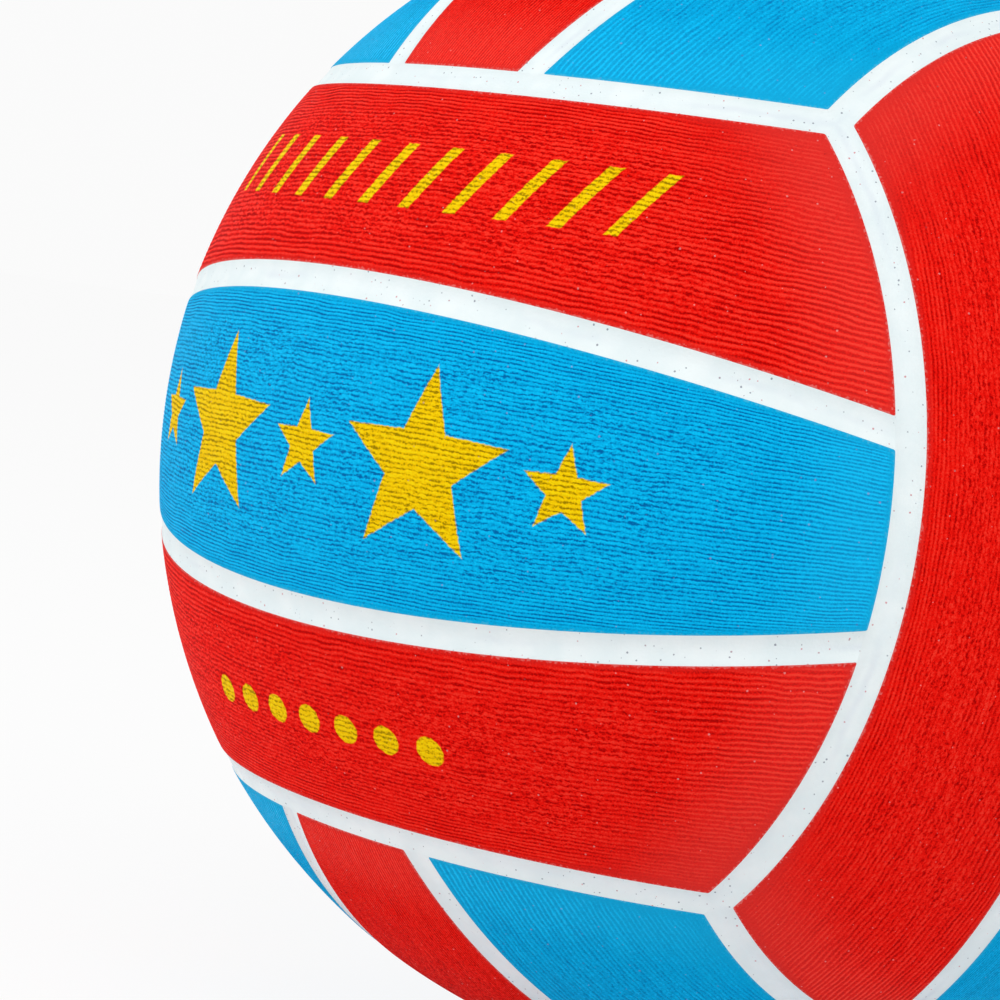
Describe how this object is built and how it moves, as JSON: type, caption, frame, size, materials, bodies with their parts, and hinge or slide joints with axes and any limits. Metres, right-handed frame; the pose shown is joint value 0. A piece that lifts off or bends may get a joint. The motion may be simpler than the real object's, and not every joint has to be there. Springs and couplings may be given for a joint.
{
  "type": "water polo ball",
  "caption": "Inflatable water polo ball: ribbed red and blue rubber strips with sunk white seams over a wound bladder, and a valve with a pull-out insert.",
  "frame": {"origin": "centre of the ball", "axes": "+Z from the centre out through the valve, -Y to the front face and +X to the right face"},
  "size_m": [0.2212, 0.2212, 0.2211],
  "materials": {
    "cover_red": "ribbed grip rubber, matte",
    "cover_blue": "ribbed grip rubber, matte",
    "seam_white": "smooth white rubber",
    "carcass_rubber": "plain black rubber",
    "winding_nylon": "wound nylon thread",
    "bladder_rubber": "smooth butyl rubber",
    "valve_rubber": "moulded rubber",
    "insert_rubber": "moulded soft rubber"
  },
  "bodies": {
    "ball": {"front_middle_panel": "cover_blue", "front_upper_panel": "cover_red", "front_upper_seam": "seam_white", "front_upper_border": "seam_white", "front_lower_panel": "cover_red", "front_lower_seam": "seam_white", "front_lower_border": "seam_white", "back_middle_panel": "cover_blue", "back_upper_panel": "cover_red", "back_upper_seam": "seam_white", "back_upper_border": "seam_white", "back_lower_panel": "cover_red", "back_lower_seam": "seam_white", "back_lower_border": "seam_white", "right_middle_panel": "cover_blue", "right_front_panel": "cover_red", "right_front_seam": "seam_white", "right_front_border": "seam_white", "right_back_panel": "cover_red", "right_back_seam": "seam_white", "right_back_border": "seam_white", "left_middle_panel": "cover_blue", "left_front_panel": "cover_red", "left_front_seam": "seam_white", "left_front_border": "seam_white", "left_back_panel": "cover_red", "left_back_seam": "seam_white", "left_back_border": "seam_white", "top_middle_panel": "cover_red", "top_right_panel": "cover_blue", "top_right_seam": "seam_white", "top_right_border": "seam_white", "top_left_panel": "cover_blue", "top_left_seam": "seam_white", "top_left_border": "seam_white", "bottom_middle_panel": "cover_red", "bottom_right_panel": "cover_blue", "bottom_right_seam": "seam_white", "bottom_right_border": "seam_white", "bottom_left_panel": "cover_blue", "bottom_left_seam": "seam_white", "bottom_left_border": "seam_white", "carcass": "carcass_rubber", "nylon_winding": "winding_nylon", "bladder": "bladder_rubber", "valve_housing": "valve_rubber", "balance_patch": "bladder_rubber"},
    "insert": {"valve_insert": "insert_rubber"}
  },
  "joints": [
    {"name": "insert_slide", "type": "slide", "parent": "ball", "child": "insert", "axis": [0, 0, 1], "range_m": [0, 0.018]}
  ]
}
